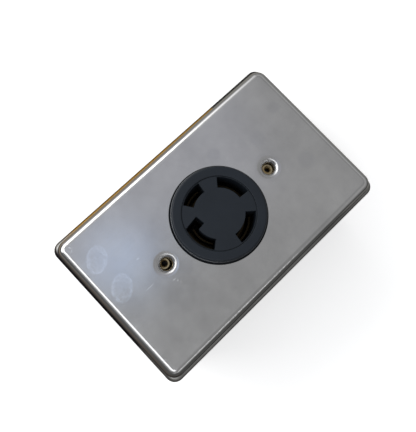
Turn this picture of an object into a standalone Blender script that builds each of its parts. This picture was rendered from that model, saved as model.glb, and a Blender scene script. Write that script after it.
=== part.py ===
"""Single-gang metal outlet box with a raised steel cover plate and a four-slot locking receptacle.

The box lies on its flat back. +Z runs from the back to the front face, +Y along the long side.
The origin is the middle of the back face. Lengths are in metres.
"""

from math import atan2, cos, hypot, pi, radians, sin

import bmesh
import bpy
from mathutils import Matrix, Vector

GAP = 0.0003                     # clearance between pieces that touch
OVERLAP = 0.0004                 # how far joined shapes run into each other
FRONT_STEPS = 56                 # facets of the receptacle's round front
ROUND_STEPS = 40                 # facets of the other large round pieces
SMALL_STEPS = 20                 # facets of screw heads and bosses
HOLE_STEPS = 16                  # facets of shanks and small holes
CUT_PAST = 0.002                 # how far a cutter runs past the surface it opens

# Box
BOX_SIZE = (0.0784, 0.1248, 0.0520)
BOX_CORNER = 0.0045
BACK_EDGE_ROUND = 0.0012
RIM_ROUND = 0.0022
WALL = 0.0032
CAVITY_CORNER = 0.0030
STRAP_HOLE_Y = 0.0417            # half of the 83.3 mm between the two strap screws
LUG_WIDTH = 0.0090
LUG_BOTTOM = 0.0395
LUG_HOLE_BOTTOM = 0.0415
LUG_HOLE_RADIUS = 0.0019
OUTLET_RADIUS = 0.0125
HUB_RADIUS = 0.0155
HUB_DEPTH = 0.0070
END_OUTLET_Z = 0.0215
BACK_OUTLET_Y = 0.0300
WALL_HOLE_XY = (0.0280, 0.0500)
WALL_HOLE_RADIUS = 0.0024
GROUND_SCREW_XY = (0.0250, -0.0130)
GROUND_BOSS_RADIUS = 0.0050
GROUND_BOSS_TOP = 0.0062
GROUND_HOLE_BOTTOM = 0.0012
GROUND_HOLE_RADIUS = 0.0023
PLUG_LENGTH = 0.0060
PLUG_SLOT = (0.0075, 0.0012, 0.0018)        # half length, half width, depth

# Gasket and cover plate
GASKET_OUTER = (0.0746, 0.1216)
GASKET_INNER = (0.0640, 0.1080)
GASKET_THICKNESS = 0.0015
GASKET_OPENING_CORNER = 0.0030
PLATE_SIZE = (0.0734, 0.1204)
PLATE_DEPTH = 0.0050
PLATE_THICKNESS = 0.0010
PLATE_CORNER = 0.0048
PLATE_SHOULDER = 0.0039
PLATE_HOLE_RADIUS = 0.02095
COVER_SCREW_Y = 0.03016          # half of the 60.3 mm between the two cover screws
COVER_SCREW_HOLE_RADIUS = 0.0025
DIMPLE_RADIUS = 0.0040
DIMPLE_DEPTH = 0.0020            # from the face to the underside of the dimple
DIMPLE_SLOPE = (                 # radius and depth, from the face to the hole
    (0.0044, 0.0),
    (DIMPLE_RADIUS, 0.0001),
    (0.0027, 0.00115),
    (COVER_SCREW_HOLE_RADIUS, 0.0015),
)

# Heights that follow from the stack of pieces
RIM_Z = BOX_SIZE[2]
GASKET_Z = RIM_Z + GAP
SKIRT_Z = GASKET_Z + GASKET_THICKNESS + GAP
FACE_Z = SKIRT_Z + PLATE_DEPTH
STRAP_Z = RIM_Z + GAP
STRAP_THICKNESS = 0.0013
STRAP_TOP = STRAP_Z + STRAP_THICKNESS

# Receptacle
FRONT_RADIUS = 0.0206
FRONT_EDGE_RADIUS = 0.0194
FRONT_HEIGHT = 0.0040            # how far it stands out of the cover plate
FRONT_EDGE_DEPTH = 0.0022        # how far down the rounding of its edge reaches
INNER_FACE_RADIUS = 0.0156
INNER_FACE_STEP = 0.0004
FLANGE_SIZE = (0.0440, 0.0500)
FLANGE_CORNER = 0.0040
FLANGE_TOP = FACE_Z - PLATE_THICKNESS - GAP
FLANGE_BOTTOM = STRAP_TOP + GAP
BODY_SIZE = (0.0410, 0.0620)
BODY_DEPTH = 0.0300
BODY_CORNER = 0.0030
BODY_TOP = RIM_Z
BODY_BOTTOM = BODY_TOP - BODY_DEPTH
SLOT_INNER = 0.01085
SLOT_OUTER = 0.0153
DOGLEG_START = (-0.00345, -0.0078)
DOGLEG_END = (-0.00270, -0.0135)
DOGLEG_WIDTH = 0.0042

# Strap
STRAP_LENGTH = 0.1000
STRAP_WIDTH = 0.0200
STRAP_RING_RADIUS = 0.0225
STRAP_OPENING_RADIUS = 0.0170
TAPPED_BOSS_RADIUS = 0.0030
STRAP_CORNER = 0.0040
STRAP_SLOT_HALF = (0.0034, 0.0020)
STRAP_SLOT_CORNER = 0.0019
TAPPED_BOSS_TOP = FACE_Z - DIMPLE_DEPTH - 0.0014
TAPPED_HOLE_RADIUS = 0.00145
ASSEMBLY_SCREW_Y = 0.0225
ASSEMBLY_HOLE_RADIUS = 0.0020
ASSEMBLY_HOLE_TOP = 0.0569       # the end of the blind holes in the receptacle's face

# Contacts and their clamps, on the two long sides of the body
CONTACT_BOTTOM = 0.0360
CONTACT_TOP = 0.0500
CONTACT_INNER = 0.0115
CONTACT_OUTER = 0.0147
CONTACT_GROOVE = (0.0123, 0.0139)
TAIL_THICKNESS = 0.0016
WELL_MARGIN = 0.0004
RECESS_HALF_WIDTH = 0.0056
RECESS_HEIGHTS = (0.0245, 0.0382)
SCREW_END_X = (0.0105, 0.0160)   # the blind hole that takes the end of a terminal screw
SCREW_END_RADIUS = 0.0025
WIRE_HOLE_RADIUS = 0.0022
WIRE_HOLE_TOP = 0.0260
TERMINAL_Y = 0.0190
TERMINAL_Z = 0.0315
PAD_X = 0.0151
PAD_THICKNESS = 0.0012
PAD_SIZE = (0.0094, 0.0116)
CLAMP_X = 0.0189
CLAMP_SIZE = (0.0012, 0.0096, 0.0092)

# Screws: length under the head, shank radius, head radius, head height
GROUND_SCREW = (0.0045, 0.0020, 0.0045, 0.0026)
TERMINAL_SCREW = (0.0068, 0.0020, 0.0040, 0.0022)
STRAP_SCREW = (0.0110, 0.0016, 0.0033, 0.0020)
ASSEMBLY_SCREW = (0.0345, 0.0017, 0.0033, 0.0020)
HEAD_TAPER = 0.82
SCREW_SLOT_HALF_WIDTH = 0.0005

# name, slot start, slot end, side of the terminal, end of the terminal, inner corner of the tail
POLES = (
    ("line_1", 353.5, 410.5, 1, 1, (0.0100, 0.0060)),
    ("line_2", 84.5, 140.5, -1, 1, (0.0085, 0.0085)),
    ("neutral", 171.5, 214.5, -1, -1, (0.0100, 0.0060)),
    ("ground", 251.5, 309.0, 1, -1, (0.0075, 0.0100)),
)

# Looks: colour, roughness, metallic
BOX_GREY = ((0.22, 0.22, 0.21), 0.45, 1.0)
RUBBER_BLACK = ((0.012, 0.012, 0.013), 0.85, 0.0)
STAINLESS = ((0.48, 0.49, 0.50), 0.38, 1.0)
NYLON_BLACK = ((0.016, 0.018, 0.022), 0.50, 0.0)
BODY_BLACK = ((0.025, 0.025, 0.027), 0.60, 0.0)
BRASS = ((0.60, 0.42, 0.20), 0.35, 1.0)
STRAP_BRASS = ((0.62, 0.47, 0.27), 0.38, 1.0)
ZINC = ((0.55, 0.55, 0.53), 0.35, 1.0)
GREEN = ((0.03, 0.22, 0.07), 0.40, 0.7)
TERMINAL_LOOKS = {"line_1": BRASS, "line_2": BRASS, "neutral": ZINC, "ground": GREEN}


def fresh_collection(name):
    collection = bpy.data.collections.new(name)
    bpy.context.scene.collection.children.link(collection)
    return collection


for old in list(bpy.data.objects):
    bpy.data.objects.remove(old, do_unlink=True)
PARTS = fresh_collection("generator_inlet_box")
CUTTERS = fresh_collection("cutters")


# ---------------------------------------------------------------- helpers

def paint(obj, look):
    colour, roughness, metallic = look
    material = bpy.data.materials.new(obj.name)
    material.use_nodes = True
    shader = material.node_tree.nodes["Principled BSDF"]
    shader.inputs["Base Color"].default_value = (*colour, 1.0)
    shader.inputs["Roughness"].default_value = roughness
    shader.inputs["Metallic"].default_value = metallic
    obj.data.materials.clear()
    obj.data.materials.append(material)


def add_object(name, bm, collection, origin=(0, 0, 0)):
    """Store a bmesh as an object whose origin is at the given place."""
    bmesh.ops.translate(bm, verts=bm.verts, vec=-Vector(origin))
    bmesh.ops.recalc_face_normals(bm, faces=bm.faces)
    mesh = bpy.data.meshes.new(name)
    bm.to_mesh(mesh)
    bm.free()
    obj = bpy.data.objects.new(name, mesh)
    obj.location = origin
    collection.objects.link(obj)
    return obj


def part(name, bm, look, origin=(0, 0, 0)):
    obj = add_object(name, bm, PARTS, origin)
    obj.data.shade_smooth()
    obj.data.set_sharp_from_angle(angle=radians(35))
    paint(obj, look)
    return obj


def tool(name, bm):
    obj = add_object(name, bm, CUTTERS)
    obj.hide_render = True
    obj.display_type = "WIRE"
    return obj


def boolean(obj, other, operation):
    modifier = obj.modifiers.new(other.name, "BOOLEAN")
    modifier.operation = operation
    modifier.solver = "EXACT"
    modifier.object = other


def cut(obj, name, bm):
    boolean(obj, tool(name, bm), "DIFFERENCE")


def join(obj, name, bm):
    boolean(obj, tool(name, bm), "UNION")


def block(low, high, corner=0.0, steps=5):
    """A box between two corners, with its upright edges rounded."""
    bm = bmesh.new()
    bmesh.ops.create_cube(bm, size=1.0)
    size = Vector(high) - Vector(low)
    bmesh.ops.scale(bm, verts=bm.verts, vec=size)
    bmesh.ops.translate(bm, verts=bm.verts, vec=(Vector(high) + Vector(low)) / 2)
    if corner:
        upright = [e for e in bm.edges if abs(e.verts[0].co.z - e.verts[1].co.z) > size.z / 2]
        bmesh.ops.bevel(bm, geom=upright, offset=corner, segments=steps, profile=0.5,
                        affect="EDGES", clamp_overlap=True)
    return bm


def centred_block(size_xy, bottom, top, corner=0.0, steps=5):
    half_x, half_y = size_xy[0] / 2, size_xy[1] / 2
    return block((-half_x, -half_y, bottom), (half_x, half_y, top), corner, steps)


def round_edges_at(bm, height, width, steps):
    """Round every edge that lies wholly at one height."""
    edges = [e for e in bm.edges if all(abs(v.co.z - height) < 1e-6 for v in e.verts)]
    bmesh.ops.bevel(bm, geom=edges, offset=width, segments=steps, profile=0.5,
                    affect="EDGES", clamp_overlap=True)
    return bm


def rod(start, end, radius, steps=SMALL_STEPS, end_radius=None):
    """A solid cylinder, or a cone, between two points."""
    start, end = Vector(start), Vector(end)
    along = end - start
    bm = bmesh.new()
    bmesh.ops.create_cone(bm, cap_ends=True, segments=steps, radius1=radius,
                          radius2=radius if end_radius is None else end_radius, depth=along.length)
    turn = along.to_track_quat("Z", "Y").to_matrix().to_4x4()
    bmesh.ops.transform(bm, matrix=Matrix.Translation((start + end) / 2) @ turn, verts=bm.verts)
    return bm


def turned(name, profile, steps, collection, look=None):
    """A solid of revolution about Z; the profile runs from the axis, down the outside, to the axis."""
    mesh = bpy.data.meshes.new(name)
    points = [(radius, 0, z) for radius, z in profile]
    mesh.from_pydata(points, [(i, i + 1) for i in range(len(points) - 1)], [])
    obj = bpy.data.objects.new(name, mesh)
    collection.objects.link(obj)
    screw = obj.modifiers.new("turn", "SCREW")
    screw.steps = screw.render_steps = steps
    screw.use_merge_vertices = True
    screw.merge_threshold = 0.00001
    screw.use_smooth_shade = True
    if look:
        paint(obj, look)
    else:
        obj.hide_render = True
        obj.display_type = "WIRE"
    return obj


def outline(points, bottom, top):
    """A flat outline filled and extruded between two heights, returned as a bmesh."""
    curve = bpy.data.curves.new("outline", "CURVE")
    curve.dimensions = "2D"
    curve.fill_mode = "BOTH"
    curve.extrude = (top - bottom) / 2
    spline = curve.splines.new("POLY")
    spline.points.add(len(points) - 1)
    for place, (x, y) in zip(spline.points, points):
        place.co = (x, y, 0, 1)
    spline.use_cyclic_u = True
    guide = bpy.data.objects.new("outline", curve)
    CUTTERS.objects.link(guide)
    evaluated = guide.evaluated_get(bpy.context.evaluated_depsgraph_get())
    mesh = bpy.data.meshes.new_from_object(evaluated)
    bm = bmesh.new()
    bm.from_mesh(mesh)
    bmesh.ops.remove_doubles(bm, verts=bm.verts, dist=0.000001)
    bmesh.ops.translate(bm, verts=bm.verts, vec=(0, 0, (top + bottom) / 2))
    bpy.data.objects.remove(guide, do_unlink=True)
    return bm


def arc(radius, start, end, steps):
    """Points on a circle about the origin, angles in degrees."""
    angles = [radians(start + (end - start) * i / steps) for i in range(steps + 1)]
    return [(radius * cos(a), radius * sin(a)) for a in angles]


def band(inner, outer, start, end, bottom, top, steps=12):
    """A curved bar: the part of a ring between two angles."""
    return outline(arc(outer, start, end, steps) + arc(inner, end, start, steps), bottom, top)


def bar(start, end, width, bottom, top):
    """A straight bar of the given width around the line from start to end."""
    dx, dy = end[0] - start[0], end[1] - start[1]
    length = hypot(dx, dy)
    bm = block((0, -width / 2, bottom), (length, width / 2, top))
    place = Matrix.Translation((*start, 0)) @ Matrix.Rotation(atan2(dy, dx), 4, "Z")
    bmesh.ops.transform(bm, matrix=place, verts=bm.verts)
    return bm


# ---------------------------------------------------------------- box

def lug_shape(end, wall_y):
    """A strip that runs in from an end wall, with a round tip about the strap screw's hole."""
    half = LUG_WIDTH / 2
    tip = [(x, end * (STRAP_HOLE_Y + y)) for x, y in arc(half, 180, 360, SMALL_STEPS // 2)]
    return outline([*tip, (half, wall_y), (-half, wall_y)], LUG_BOTTOM, RIM_Z + 2 * CUT_PAST)


def make_box():
    """The box; its lugs, hubs and boss are what the hollow leaves standing."""
    width, length, _ = BOX_SIZE
    half_y = length / 2
    shell = centred_block((width, length), 0, RIM_Z, BOX_CORNER, 5)
    round_edges_at(shell, 0, BACK_EDGE_ROUND, 2)
    box = part("device_box", round_edges_at(shell, RIM_Z, RIM_ROUND, 3), BOX_GREY)
    inside = (width - 2 * WALL, length - 2 * WALL)
    hollow = tool("hollow", centred_block(inside, WALL, RIM_Z + CUT_PAST, CAVITY_CORNER))
    low = WALL / 2
    for end in (-1, 1):
        wall_y = end * (half_y - WALL / 2)
        cut(hollow, "lug_%d" % end, lug_shape(end, wall_y))
        hub_start = (0, end * (half_y - HUB_DEPTH), END_OUTLET_Z)
        end_hub = rod(hub_start, (0, wall_y, END_OUTLET_Z), HUB_RADIUS, ROUND_STEPS)
        cut(hollow, "end_hub_%d" % end, end_hub)
        back_y = end * BACK_OUTLET_Y
        back_hub = rod((0, back_y, low), (0, back_y, HUB_DEPTH), HUB_RADIUS, ROUND_STEPS)
        cut(hollow, "back_hub_%d" % end, back_hub)
    screw_x, screw_y = GROUND_SCREW_XY
    boss = rod((screw_x, screw_y, low), (screw_x, screw_y, GROUND_BOSS_TOP), GROUND_BOSS_RADIUS)
    cut(hollow, "ground_boss", boss)
    boolean(box, hollow, "DIFFERENCE")
    for end in (-1, 1):
        outer_y, inner_y = end * (half_y + CUT_PAST), end * (half_y - HUB_DEPTH - CUT_PAST)
        end_hole = rod((0, outer_y, END_OUTLET_Z), (0, inner_y, END_OUTLET_Z), OUTLET_RADIUS, ROUND_STEPS)
        cut(box, "end_hole_%d" % end, end_hole)
        back_y = end * BACK_OUTLET_Y
        back_hole = rod((0, back_y, -CUT_PAST), (0, back_y, HUB_DEPTH + CUT_PAST), OUTLET_RADIUS, ROUND_STEPS)
        cut(box, "back_hole_%d" % end, back_hole)
        lug_y = end * STRAP_HOLE_Y
        screw_hole = rod((0, lug_y, LUG_HOLE_BOTTOM), (0, lug_y, RIM_Z + CUT_PAST), LUG_HOLE_RADIUS)
        cut(box, "strap_screw_hole_%d" % end, screw_hole)
    for x in (-WALL_HOLE_XY[0], WALL_HOLE_XY[0]):
        for y in (-WALL_HOLE_XY[1], WALL_HOLE_XY[1]):
            cut(box, "wall_hole", rod((x, y, -CUT_PAST), (x, y, WALL + CUT_PAST), WALL_HOLE_RADIUS))
    ground_hole = rod((screw_x, screw_y, GROUND_HOLE_BOTTOM), (screw_x, screw_y, GROUND_BOSS_TOP + CUT_PAST),
                      GROUND_HOLE_RADIUS)
    cut(box, "ground_hole", ground_hole)


def slot_reach(across, along, half_length, half_width, depth):
    """Half the size of the block that cuts a driver slot; all its components are positive."""
    parts = ((across, half_length), (along.cross(across), half_width), (along, depth))
    return sum((Vector(map(abs, axis)) * size for axis, size in parts), Vector())


def make_plug(name, face_centre, inward):
    """A slotted closure plug; its outer face is just inside the wall's outer face."""
    face, inward = Vector(face_centre), Vector(inward)
    outer = face + inward * GAP
    plug = part(name, rod(outer, outer + inward * PLUG_LENGTH, OUTLET_RADIUS - GAP, ROUND_STEPS), BOX_GREY)
    across = Vector((1, 0, 0))
    reach = slot_reach(across, inward, *PLUG_SLOT)
    cut(plug, name + "_slot", block(outer - reach, outer + reach))


def make_plugs():
    half_y = BOX_SIZE[1] / 2
    make_plug("closure_plug_end", (0, half_y, END_OUTLET_Z), (0, -1, 0))
    make_plug("closure_plug_back_upper", (0, BACK_OUTLET_Y, 0), (0, 0, 1))
    make_plug("closure_plug_back_lower", (0, -BACK_OUTLET_Y, 0), (0, 0, 1))


def make_screw(name, under_head, towards_tip, size, look):
    """A pan-head screw with a slot; under_head is the point where shank and head meet."""
    length, radius, head_radius, head_height = size
    base, along = Vector(under_head), Vector(towards_tip)
    top = base - along * head_height
    screw = part(name, rod(top, base, head_radius * HEAD_TAPER, SMALL_STEPS, head_radius), look, base)
    shank = rod(base - along * OVERLAP, base + along * length, radius, HOLE_STEPS)
    join(screw, name + "_shank", shank)
    across = Vector((0, 1, 0))
    reach = slot_reach(across, along, head_radius + CUT_PAST, SCREW_SLOT_HALF_WIDTH, head_height / 2)
    cut(screw, name + "_slot", block(top - reach, top + reach))


def make_ground_screw():
    x, y = GROUND_SCREW_XY
    make_screw("box_ground_screw", (x, y, GROUND_BOSS_TOP + GAP), (0, 0, -1), GROUND_SCREW, GREEN)


# ---------------------------------------------------------------- gasket and cover plate

def make_gasket():
    top = GASKET_Z + GASKET_THICKNESS
    gasket = part("gasket", centred_block(GASKET_OUTER, GASKET_Z, top, PLATE_CORNER, 6), RUBBER_BLACK)
    opening = centred_block(GASKET_INNER, GASKET_Z - CUT_PAST, top + CUT_PAST, GASKET_OPENING_CORNER)
    cut(gasket, "gasket_opening", opening)


def make_cover_plate():
    """A pressed steel pan, open at the back, with a round hole and two dimpled screw holes."""
    bm = centred_block(PLATE_SIZE, SKIRT_Z, FACE_Z, PLATE_CORNER, 6)
    round_edges_at(bm, FACE_Z, PLATE_SHOULDER, 5)
    floor = [f for f in bm.faces if all(abs(v.co.z - SKIRT_Z) < 1e-6 for v in f.verts)]
    bmesh.ops.delete(bm, geom=floor, context="FACES_ONLY")
    plate = part("cover_plate", bm, STAINLESS)
    thickness = plate.modifiers.new("thickness", "SOLIDIFY")
    thickness.thickness = PLATE_THICKNESS
    thickness.offset = -1.0
    thickness.use_even_offset = True
    for end in (-1, 1):
        y = end * COVER_SCREW_Y
        boss = rod((0, y, FACE_Z - DIMPLE_DEPTH), (0, y, FACE_Z - PLATE_THICKNESS / 2),
                   COVER_SCREW_HOLE_RADIUS + 2 * OVERLAP, SMALL_STEPS, DIMPLE_RADIUS + OVERLAP)
        join(plate, "dimple_back_%d" % end, boss)
    cut(plate, "centre_hole", rod((0, 0, SKIRT_Z), (0, 0, FACE_Z + CUT_PAST), PLATE_HOLE_RADIUS, FRONT_STEPS))
    above, below = FACE_Z + CUT_PAST, FACE_Z - DIMPLE_DEPTH - CUT_PAST
    slope = [(radius, FACE_Z - depth) for radius, depth in DIMPLE_SLOPE]
    profile = [(0, above), (slope[0][0], above), *slope, (COVER_SCREW_HOLE_RADIUS, below), (0, below)]
    for end in (-1, 1):
        cutter = turned("dimple_%d" % end, profile, SMALL_STEPS, CUTTERS)
        cutter.location.y = end * COVER_SCREW_Y
        boolean(plate, cutter, "DIFFERENCE")


# ---------------------------------------------------------------- receptacle

def slot_cutters(start, end, bottom, top, growth=0.0):
    """The bmeshes of one blade slot; the ground slot has an extra inward leg."""
    spread = growth / SLOT_INNER * 180 / pi
    cutters = [band(SLOT_INNER - growth, SLOT_OUTER + growth, start - spread, end + spread, bottom, top)]
    if start == POLES[3][1]:
        cutters.append(bar(DOGLEG_START, DOGLEG_END, DOGLEG_WIDTH + 2 * growth, bottom, top))
    return cutters


def make_face():
    """The round front of the receptacle with its square flange and four curved slots."""
    top = FACE_Z + FRONT_HEIGHT
    edge = FRONT_RADIUS - FRONT_EDGE_RADIUS
    corner = [(FRONT_EDGE_RADIUS + edge * sin(radians(a)), top - FRONT_EDGE_DEPTH * (1 - cos(radians(a))))
              for a in range(0, 91, 18)]
    inside_flange = (FLANGE_BOTTOM + FLANGE_TOP) / 2
    profile = [(0, top - INNER_FACE_STEP), (INNER_FACE_RADIUS, top - INNER_FACE_STEP),
               (INNER_FACE_RADIUS + GAP, top), *corner, (FRONT_RADIUS, inside_flange), (0, inside_flange)]
    face = turned("receptacle_face", profile, FRONT_STEPS, PARTS, NYLON_BLACK)
    join(face, "face_flange", centred_block(FLANGE_SIZE, FLANGE_BOTTOM, FLANGE_TOP, FLANGE_CORNER))
    below = FLANGE_BOTTOM - CUT_PAST
    for name, start, end, *_ in POLES:
        for number, bm in enumerate(slot_cutters(start, end, below, top + CUT_PAST)):
            cut(face, "slot_%s_%d" % (name, number), bm)
    for end in (-1, 1):
        y = end * ASSEMBLY_SCREW_Y
        hole = rod((0, y, below), (0, y, ASSEMBLY_HOLE_TOP), ASSEMBLY_HOLE_RADIUS, HOLE_STEPS)
        cut(face, "face_screw_hole_%d" % end, hole)


def tail_limits(side, end, corner, margin=0.0):
    """The lowest and highest x and y of a contact's tail."""
    xs = sorted((side * (corner[0] - margin), side * (PAD_X + PAD_THICKNESS / 2 + margin)))
    ys = sorted((end * (corner[1] - margin), end * (TERMINAL_Y + PAD_SIZE[0] / 2 - OVERLAP + margin)))
    return xs, ys


def make_body():
    """The receptacle's back, with a well for each contact and a recess for each clamp."""
    body = part("receptacle_body", centred_block(BODY_SIZE, BODY_BOTTOM, BODY_TOP, BODY_CORNER), BODY_BLACK)
    under, over = BODY_BOTTOM - CUT_PAST, BODY_TOP + CUT_PAST
    for name, start, end_angle, side, end, corner in POLES:
        well = CONTACT_BOTTOM - WELL_MARGIN
        for number, bm in enumerate(slot_cutters(start, end_angle, well, over, WELL_MARGIN)):
            cut(body, "well_%s_%d" % (name, number), bm)
        xs, ys = tail_limits(side, end, corner, WELL_MARGIN)
        cut(body, "tail_well_" + name, block((xs[0], ys[0], well), (xs[1], ys[1], over)))
        y = end * TERMINAL_Y
        recess_x = sorted((side * (PAD_X - GAP), side * (BODY_SIZE[0] / 2 + CUT_PAST)))
        recess = block((recess_x[0], y - RECESS_HALF_WIDTH, RECESS_HEIGHTS[0]),
                       (recess_x[1], y + RECESS_HALF_WIDTH, RECESS_HEIGHTS[1]))
        cut(body, "recess_" + name, recess)
        screw_end = rod(*((side * x, y, TERMINAL_Z) for x in SCREW_END_X), SCREW_END_RADIUS, HOLE_STEPS)
        cut(body, "screw_end_" + name, screw_end)
        wire_x = side * (PAD_X + PAD_THICKNESS + CLAMP_X) / 2
        wire_hole = rod((wire_x, y, under), (wire_x, y, WIRE_HOLE_TOP), WIRE_HOLE_RADIUS, HOLE_STEPS)
        cut(body, "wire_hole_" + name, wire_hole)
    for end in (-1, 1):
        y = end * ASSEMBLY_SCREW_Y
        hole = rod((0, y, under), (0, y, over), ASSEMBLY_HOLE_RADIUS, HOLE_STEPS)
        cut(body, "body_screw_hole_%d" % end, hole)


def screw_passage(side, end, inner_x, thickness):
    """The cutter of the hole that a terminal screw passes through."""
    xs = (side * (inner_x - CUT_PAST), side * (inner_x + thickness + CUT_PAST))
    ends = ((x, end * TERMINAL_Y, TERMINAL_Z) for x in xs)
    return rod(*ends, TERMINAL_SCREW[1] + GAP, HOLE_STEPS)


def make_contact(name, start, end_angle, side, end, corner):
    """A curved brass channel that grips a blade, with a tail that ends in a terminal pad."""
    middle = (CONTACT_INNER + CONTACT_OUTER) / 2
    inset = WELL_MARGIN / middle * 180 / pi
    channel = band(CONTACT_INNER, CONTACT_OUTER, start + inset, end_angle - inset,
                   CONTACT_BOTTOM, CONTACT_TOP)
    contact = part("contact_" + name, channel, BRASS)
    xs, ys = tail_limits(side, end, corner)
    tail_top = CONTACT_BOTTOM + TAIL_THICKNESS
    join(contact, "tail_" + name, block((xs[0], ys[0], CONTACT_BOTTOM + OVERLAP), (xs[1], ys[1], tail_top)))
    pad_x = sorted((side * PAD_X, side * (PAD_X + PAD_THICKNESS)))
    pad_y = sorted((end * (TERMINAL_Y - PAD_SIZE[0] / 2), end * (TERMINAL_Y + PAD_SIZE[0] / 2)))
    pad = block((pad_x[0], pad_y[0], tail_top - PAD_SIZE[1]), (pad_x[1], pad_y[1], tail_top + OVERLAP))
    join(contact, "pad_" + name, pad)
    past = CUT_PAST / middle * 180 / pi
    groove = band(*CONTACT_GROOVE, start - past, end_angle + past,
                  tail_top + 2 * OVERLAP, CONTACT_TOP + CUT_PAST)
    cut(contact, "groove_" + name, groove)
    cut(contact, "pad_hole_" + name, screw_passage(side, end, PAD_X, PAD_THICKNESS))


def make_clamp(name, side, end, look):
    """A pressure plate and its screw; both origins are on the screw's axis."""
    y = end * TERMINAL_Y
    outer_x = CLAMP_X + CLAMP_SIZE[0]
    xs = sorted((side * CLAMP_X, side * outer_x))
    plate = block((xs[0], y - CLAMP_SIZE[1] / 2, TERMINAL_Z - CLAMP_SIZE[2] / 2),
                  (xs[1], y + CLAMP_SIZE[1] / 2, TERMINAL_Z + CLAMP_SIZE[2] / 2))
    clamp = part("clamp_" + name, plate, ZINC, (side * CLAMP_X, y, TERMINAL_Z))
    cut(clamp, "clamp_hole_" + name, screw_passage(side, end, CLAMP_X, CLAMP_SIZE[0]))
    under_head = (side * (outer_x + GAP), y, TERMINAL_Z)
    make_screw("terminal_screw_" + name, under_head, (-side, 0, 0), TERMINAL_SCREW, look)


def make_strap():
    """The flat strap that carries the receptacle, with a tapped boss for each cover screw."""
    ring = rod((0, 0, STRAP_Z), (0, 0, STRAP_TOP), STRAP_RING_RADIUS, ROUND_STEPS)
    strap = part("mounting_strap", ring, STRAP_BRASS)
    strip = centred_block((STRAP_WIDTH, STRAP_LENGTH), STRAP_Z, STRAP_TOP, STRAP_CORNER, 4)
    join(strap, "strap_bar", strip)
    for end in (-1, 1):
        y = end * COVER_SCREW_Y
        join(strap, "tapped_boss_%d" % end,
             rod((0, y, STRAP_Z + OVERLAP), (0, y, TAPPED_BOSS_TOP), TAPPED_BOSS_RADIUS + OVERLAP,
                 SMALL_STEPS, TAPPED_BOSS_RADIUS))
    below, above = STRAP_Z - CUT_PAST, STRAP_TOP + CUT_PAST
    cut(strap, "strap_opening", rod((0, 0, below), (0, 0, above), STRAP_OPENING_RADIUS, ROUND_STEPS))
    for end in (-1, 1):
        y = end * COVER_SCREW_Y
        cut(strap, "tapped_hole_%d" % end,
            rod((0, y, below), (0, y, TAPPED_BOSS_TOP + CUT_PAST), TAPPED_HOLE_RADIUS, HOLE_STEPS))
        y = end * STRAP_HOLE_Y
        half_x, half_y = STRAP_SLOT_HALF
        slot = block((-half_x, y - half_y, below), (half_x, y + half_y, above), STRAP_SLOT_CORNER, 4)
        cut(strap, "strap_slot_%d" % end, slot)
        y = end * ASSEMBLY_SCREW_Y
        hole = rod((0, y, below), (0, y, above), ASSEMBLY_HOLE_RADIUS, HOLE_STEPS)
        cut(strap, "strap_screw_hole_%d" % end, hole)


def make_fixing_screws():
    for label, end in (("lower", -1), ("upper", 1)):
        strap_place = (0, end * STRAP_HOLE_Y, STRAP_TOP + GAP)
        make_screw("strap_screw_" + label, strap_place, (0, 0, -1), STRAP_SCREW, ZINC)
        body_place = (0, end * ASSEMBLY_SCREW_Y, BODY_BOTTOM - GAP)
        make_screw("assembly_screw_" + label, body_place, (0, 0, 1), ASSEMBLY_SCREW, ZINC)


make_box()
make_plugs()
make_ground_screw()
make_gasket()
make_cover_plate()
make_face()
make_body()
make_strap()
for pole in POLES:
    make_contact(*pole)
    make_clamp(pole[0], pole[3], pole[4], TERMINAL_LOOKS[pole[0]])
make_fixing_screws()
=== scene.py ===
"""Looks of a wall box with a raised stainless cover plate and a four-slot locking receptacle.

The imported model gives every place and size. +Z is out of the front face, +Y the long side, metres.
"""

from math import cos, degrees, pi, radians, sin

import bmesh
import bpy
from mathutils import Matrix, Vector


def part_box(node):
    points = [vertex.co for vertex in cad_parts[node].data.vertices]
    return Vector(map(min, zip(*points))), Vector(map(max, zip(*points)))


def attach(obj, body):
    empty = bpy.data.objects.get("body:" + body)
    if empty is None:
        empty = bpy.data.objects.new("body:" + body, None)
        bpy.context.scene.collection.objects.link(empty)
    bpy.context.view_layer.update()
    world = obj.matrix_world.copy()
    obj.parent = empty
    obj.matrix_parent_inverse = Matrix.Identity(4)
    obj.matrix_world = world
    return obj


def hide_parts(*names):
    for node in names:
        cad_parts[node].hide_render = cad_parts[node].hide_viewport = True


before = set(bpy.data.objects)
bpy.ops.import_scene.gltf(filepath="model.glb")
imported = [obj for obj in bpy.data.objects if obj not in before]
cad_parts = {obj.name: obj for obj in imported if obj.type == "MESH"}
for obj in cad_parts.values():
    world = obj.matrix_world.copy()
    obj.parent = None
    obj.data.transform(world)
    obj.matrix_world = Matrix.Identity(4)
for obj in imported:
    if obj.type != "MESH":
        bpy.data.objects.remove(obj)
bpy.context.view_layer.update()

# ---------------------------------------------------------------- places read from the frame

PLATE_LOW, PLATE_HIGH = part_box("cover_plate")
FACE_LOW, FACE_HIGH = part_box("receptacle_face")
BOX_LOW, BOX_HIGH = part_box("device_box")
GASKET_LOW, GASKET_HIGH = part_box("gasket")
STRAP_LOW, STRAP_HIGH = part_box("mounting_strap")
FACE_Z = PLATE_HIGH.z
RIM_Z = BOX_HIGH.z

# ---------------------------------------------------------------- sizes, in metres

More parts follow.
